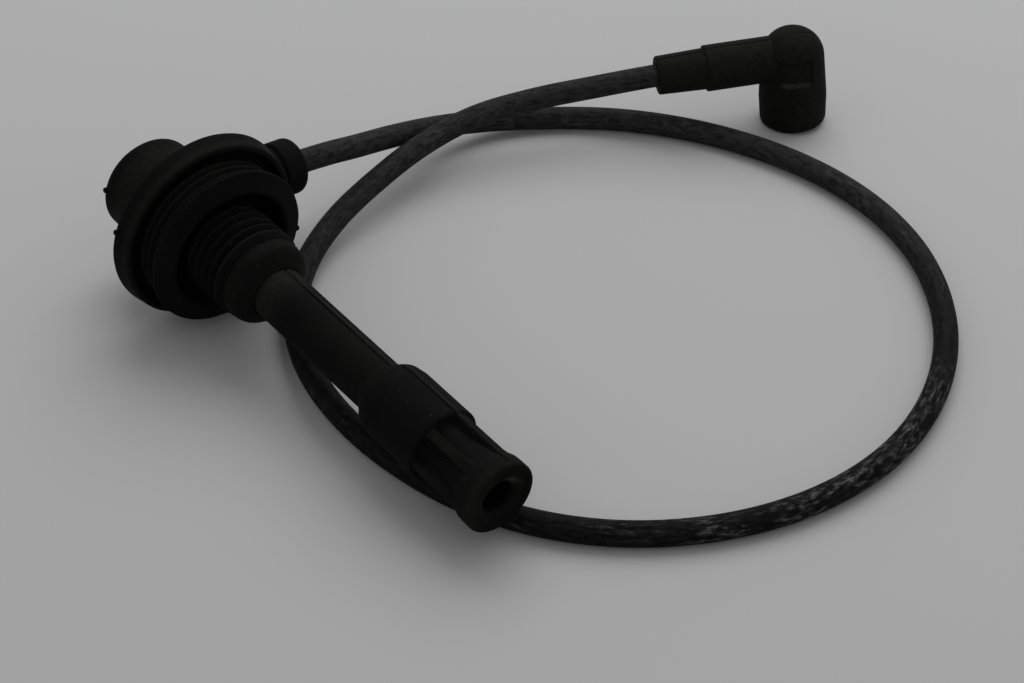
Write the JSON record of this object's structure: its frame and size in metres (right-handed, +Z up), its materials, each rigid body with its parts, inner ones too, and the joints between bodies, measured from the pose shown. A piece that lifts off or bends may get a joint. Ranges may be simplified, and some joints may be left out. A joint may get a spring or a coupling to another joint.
{
  "type": "spark plug wire",
  "caption": "Ignition lead with a long well-sealing spark plug boot, a looped rubber cable and a right-angled end boot.",
  "frame": {"origin": "on the table, below the middle of the two boots' bounding box", "axes": "+X along the plug boot in plan, to within a degree, from the cap to the plug end; +Y to the side on which the cable leaves the cap; +Z up"},
  "size_m": [0.2068, 0.2343, 0.0555],
  "materials": {
    "boot_rubber": "matte black moulded rubber, slightly dusty",
    "cable_jacket": "satin black cable jacket with faint chalky streaks",
    "brass": "plain stamped brass",
    "steel": "plain zinc-plated steel wire and rod"
  },
  "bodies": {
    "root": {"well_cap": "boot_rubber", "cap_terminal": "brass", "plug_boot": "boot_rubber", "contact_rod": "steel", "contact_spring": "steel", "plug_terminal": "brass", "plug_terminal_clip": "steel", "elbow_boot": "boot_rubber", "elbow_terminal": "brass", "elbow_terminal_clip": "steel", "ignition_cable": "cable_jacket"}
  },
  "joints": []
}
